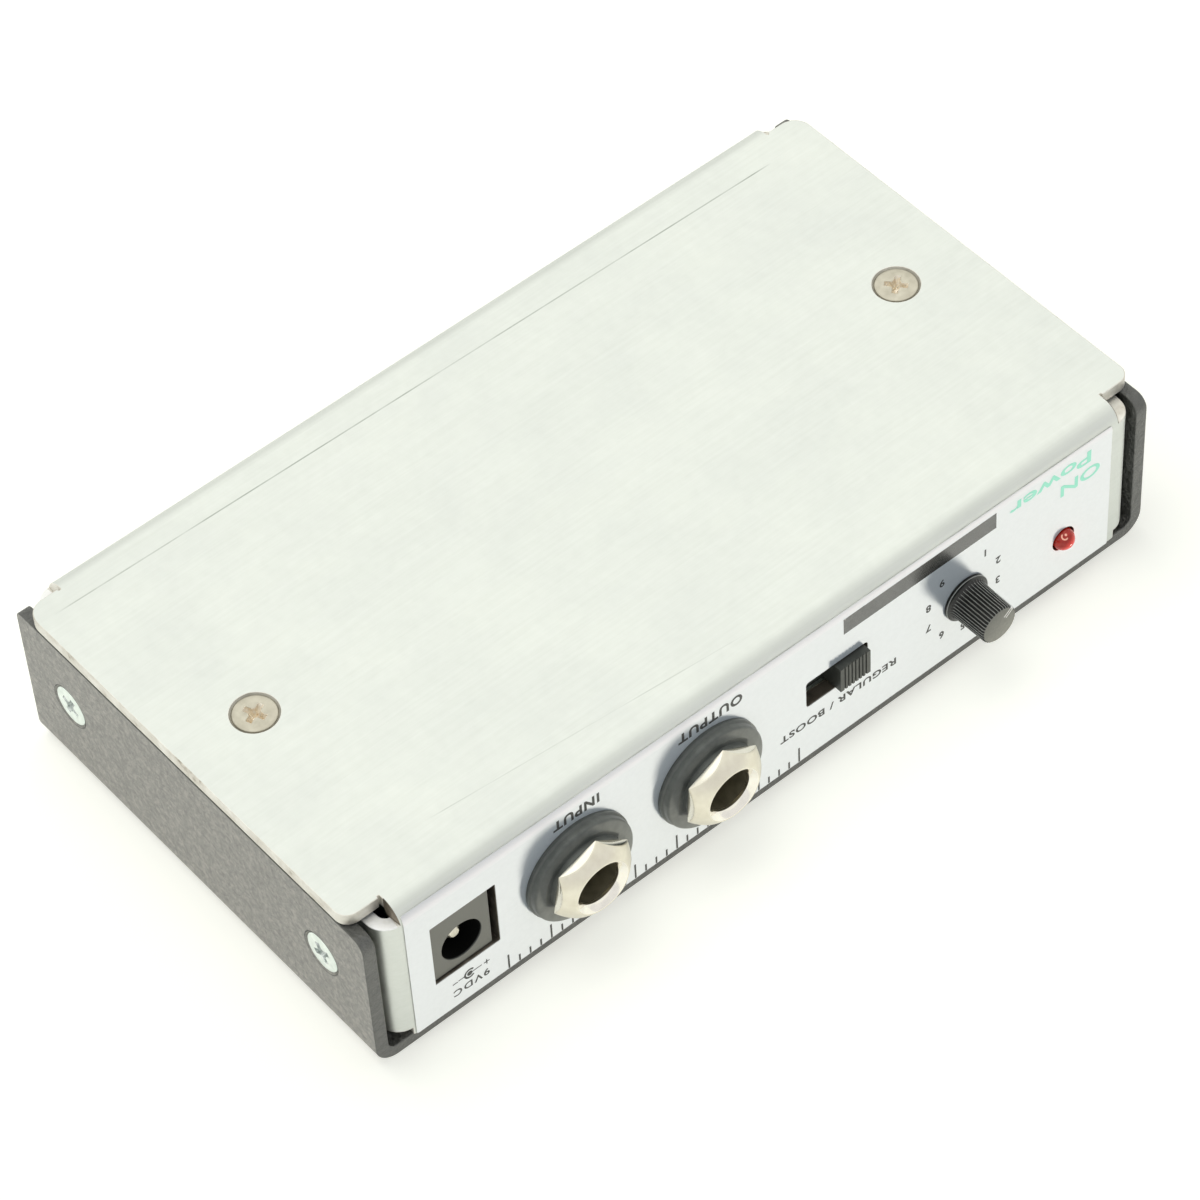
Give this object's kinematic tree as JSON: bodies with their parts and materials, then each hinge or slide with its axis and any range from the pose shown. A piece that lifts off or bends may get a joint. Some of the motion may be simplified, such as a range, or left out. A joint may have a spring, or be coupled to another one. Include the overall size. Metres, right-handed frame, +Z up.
{
  "type": "electric piano preamplifier",
  "caption": "Small two-piece metal box with plug sockets, a power inlet, a slide switch, a fluted level knob and a lamp on one side, shown lying on its cover with the base up.",
  "frame": {"origin": "middle of the black cover's outer flat, on which the part rests as stored", "axes": "+X along the box from the power inlet to the lamp, -Y out of the connector panel, +Z up out of the bare base plate"},
  "size_m": [0.13, 0.078, 0.0272],
  "materials": {
    "bare_aluminium": "fine brushed, lightly worn edges",
    "black_powder_coat": "fine leathery texture, satin",
    "printed_film": "matte white film",
    "nickel_plate": "satin nickel",
    "zinc_plate": "bright zinc",
    "black_moulding": "moulded, satin",
    "fluted_moulding": "moulded, fine flutes",
    "green_board": "solder mask",
    "tinned_wire": "tinned",
    "spring_brass": "plain",
    "die_cast": "tumbled die casting",
    "paper_laminate": "phenolic sheet",
    "red_lens": "tinted clear",
    "dark_sleeve": "shrunk sleeve",
    "film_coat": "dipped",
    "resistor_coat": "enamel"
  },
  "bodies": {
    "box": {"bottom_chassis": "bare_aluminium", "top_cover": "black_powder_coat", "panel_label": "printed_film", "cover_screws": "zinc_plate", "plate_screws": "nickel_plate", "board_spacers": "nickel_plate", "board_nuts": "zinc_plate", "circuit_board": "green_board", "inlet_body": "black_moulding", "inlet_pin": "nickel_plate", "inlet_terminal": "tinned_wire", "inlet_spring": "spring_brass", "input_jack_body": "black_moulding", "input_jack_collar": "black_moulding", "input_jack_nut": "nickel_plate", "input_jack_tip_contact": "tinned_wire", "input_jack_sleeve_contact": "tinned_wire", "output_jack_body": "black_moulding", "output_jack_collar": "black_moulding", "output_jack_nut": "nickel_plate", "output_jack_tip_contact": "tinned_wire", "output_jack_sleeve_contact": "tinned_wire", "switch_shell": "zinc_plate", "switch_wafer": "paper_laminate", "switch_pins": "tinned_wire", "pot_bushing": "die_cast", "pot_case": "black_moulding", "pot_track": "paper_laminate", "pot_pins": "tinned_wire", "lamp_lens": "red_lens", "lamp_legs": "tinned_wire", "amplifier_chip": "black_moulding", "chip_legs": "tinned_wire", "electrolytic_capacitors": "dark_sleeve", "film_capacitors": "film_coat", "resistors": "resistor_coat", "protection_diode": "black_moulding", "component_legs": "tinned_wire"},
    "knob": {"level_knob": "fluted_moulding", "pot_shaft": "black_moulding", "pot_wiper": "spring_brass"},
    "slider": {"switch_slider": "black_moulding", "switch_bridge": "spring_brass"}
  },
  "joints": [
    {"name": "knob_turn", "type": "hinge", "parent": "box", "child": "knob", "pos_m": [0.0325, -0.039, 0.0119], "axis": [0, 1, 0], "range_deg": [-20, 280]},
    {"name": "switch_slide", "type": "slide", "parent": "box", "child": "slider", "axis": [-1, 0, 0], "range_m": [0, 0.0042]}
  ]
}
